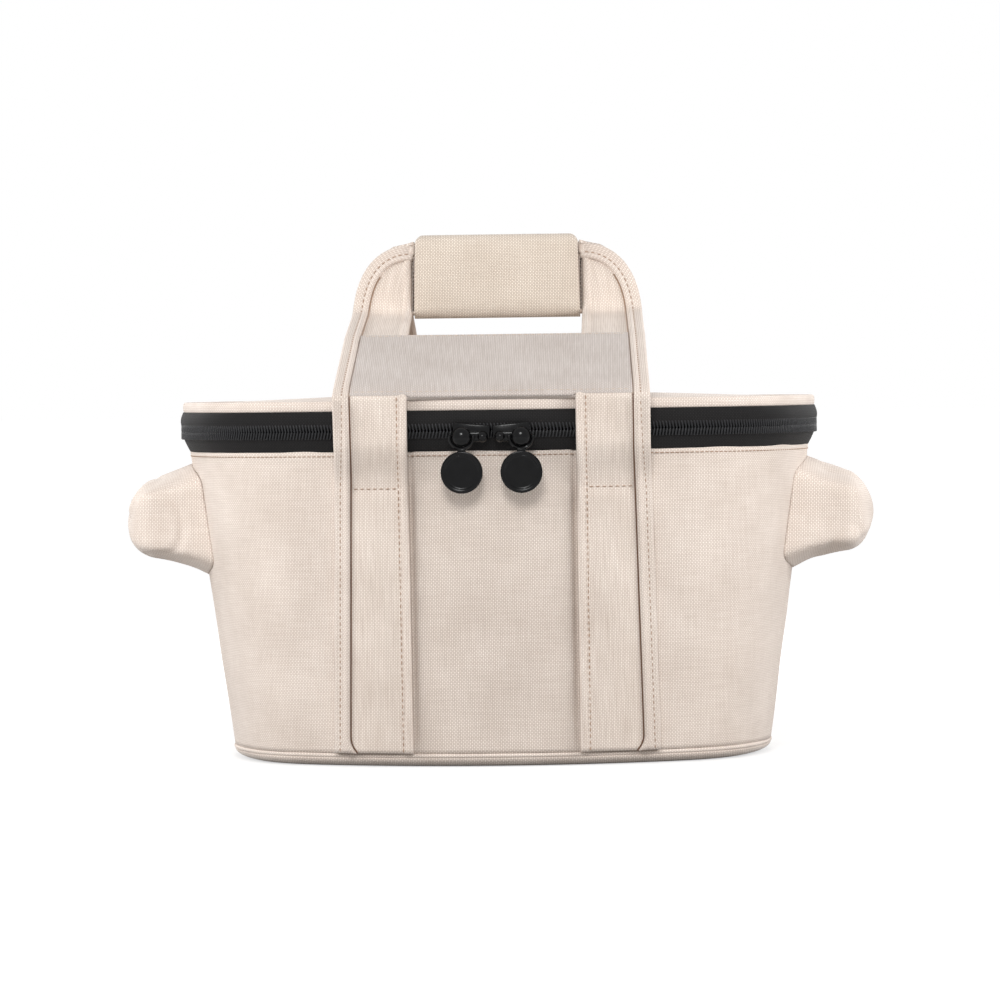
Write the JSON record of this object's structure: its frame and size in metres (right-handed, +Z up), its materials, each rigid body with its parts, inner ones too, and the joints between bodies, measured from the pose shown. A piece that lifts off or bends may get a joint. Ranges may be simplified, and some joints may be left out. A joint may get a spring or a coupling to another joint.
{
  "type": "casserole carrier",
  "caption": "Oval padded canvas carrier for a round casserole, with a zipped lid, side pockets for the pot's handles, and strap handles held in a grip wrap.",
  "frame": {"origin": "middle of the base's flat underside", "axes": "+Z up, front towards -Y, +X to the right seen from the front, along the carrier's width"},
  "size_m": [0.4108, 0.3003, 0.2845],
  "materials": {
    "canvas": "plain-woven cotton canvas, cream",
    "lining": "smooth woven lining, light grey-beige",
    "foam": "closed-cell padding, hidden",
    "board": "stiffening board, hidden",
    "zip_tape": "woven zip tape, black",
    "zip_coil": "moulded nylon coil, black",
    "enamel": "glossy black enamel on die-cast metal",
    "fastener": "hook and loop tape, cream"
  },
  "bodies": {
    "carrier_body": {"base_panel": "canvas", "base_piping": "canvas", "base_board": "board", "base_foam": "foam", "base_lining": "lining", "front_wall_canvas": "canvas", "rear_wall_canvas": "canvas", "wall_foam": "foam", "wall_lining": "lining", "rim_binding": "lining", "left_pocket_canvas": "canvas", "left_pocket_lining": "lining", "right_pocket_canvas": "canvas", "right_pocket_lining": "lining", "zip_tape_lower": "zip_tape", "zip_coil_lower": "zip_coil", "left_zip_stop": "canvas", "right_zip_stop": "canvas", "lid_hinge_strip": "canvas", "front_left_strap": "canvas", "front_left_strap_binding": "canvas", "front_right_strap": "canvas", "front_right_strap_binding": "canvas", "rear_left_strap": "canvas", "rear_left_strap_binding": "canvas", "rear_right_strap": "canvas", "rear_right_strap_binding": "canvas"},
    "lid": {"lid_welt": "canvas", "lid_canvas": "canvas", "lid_foam": "foam", "lid_lining": "lining", "zip_tape_upper": "zip_tape", "zip_coil_upper": "zip_coil"},
    "left_slider": {"left_slider": "enamel"},
    "left_pull": {"left_pull": "enamel"},
    "right_slider": {"right_slider": "enamel"},
    "right_pull": {"right_pull": "enamel"},
    "front_handle": {"front_handle_loop": "canvas", "front_yoke_panel": "canvas", "front_left_arch_binding": "canvas", "front_right_arch_binding": "canvas", "grip_cover": "canvas", "grip_foam": "foam", "loop_tape": "fastener"},
    "grip_flap": {"grip_flap_cover": "canvas", "grip_flap_foam": "foam", "hook_tape": "fastener"},
    "rear_handle": {"rear_handle_loop": "canvas", "rear_yoke_panel": "canvas", "rear_left_arch_binding": "canvas", "rear_right_arch_binding": "canvas"}
  },
  "joints": [
    {"name": "lid_hinge", "type": "hinge", "parent": "carrier_body", "child": "lid", "pos_m": [0, 0.1448, 0.193], "axis": [-1, 0, 0], "range_deg": [0, 80], "deforming": ["lid_hinge_strip", "front_handle_loop", "front_yoke_panel", "front_left_arch_binding", "front_right_arch_binding", "grip_cover", "grip_foam", "loop_tape", "grip_flap_cover", "grip_flap_foam", "hook_tape", "rear_handle_loop", "rear_yoke_panel", "rear_left_arch_binding", "rear_right_arch_binding"]},
    {"name": "left_slider_run", "type": "hinge", "parent": "carrier_body", "child": "left_slider", "pos_m": [0, 0.10343, 0.1783], "axis": [0, 0, -1], "range_deg": [0, 23], "deforming": ["front_left_strap", "front_left_strap_binding"]},
    {"name": "left_pull_swing", "type": "hinge", "parent": "left_slider", "child": "left_pull", "pos_m": [-0.0156, -0.15057, 0.175], "axis": [-0.9992, 0.0409, 0], "range_deg": [0, 120]},
    {"name": "right_slider_run", "type": "hinge", "parent": "carrier_body", "child": "right_slider", "pos_m": [0, 0.10343, 0.1783], "axis": [0, 0, 1], "range_deg": [0, 23], "deforming": ["front_right_strap", "front_right_strap_binding"]},
    {"name": "right_pull_swing", "type": "hinge", "parent": "right_slider", "child": "right_pull", "pos_m": [0.0156, -0.15057, 0.175], "axis": [-0.9992, -0.0409, 0], "range_deg": [0, 120]},
    {"name": "front_handle_fold", "type": "hinge", "parent": "carrier_body", "child": "front_handle", "pos_m": [0, -0.14467, 0.1966], "axis": [1, 0, 0], "range_deg": [0, 150]},
    {"name": "grip_flap_open", "type": "hinge", "parent": "front_handle", "child": "grip_flap", "pos_m": [0, 0, 0.28448], "axis": [1, 0, 0], "range_deg": [0, 120]},
    {"name": "rear_handle_fold", "type": "hinge", "parent": "carrier_body", "child": "rear_handle", "pos_m": [0, 0.14467, 0.1966], "axis": [-1, 0, 0], "range_deg": [0, 150]}
  ]
}
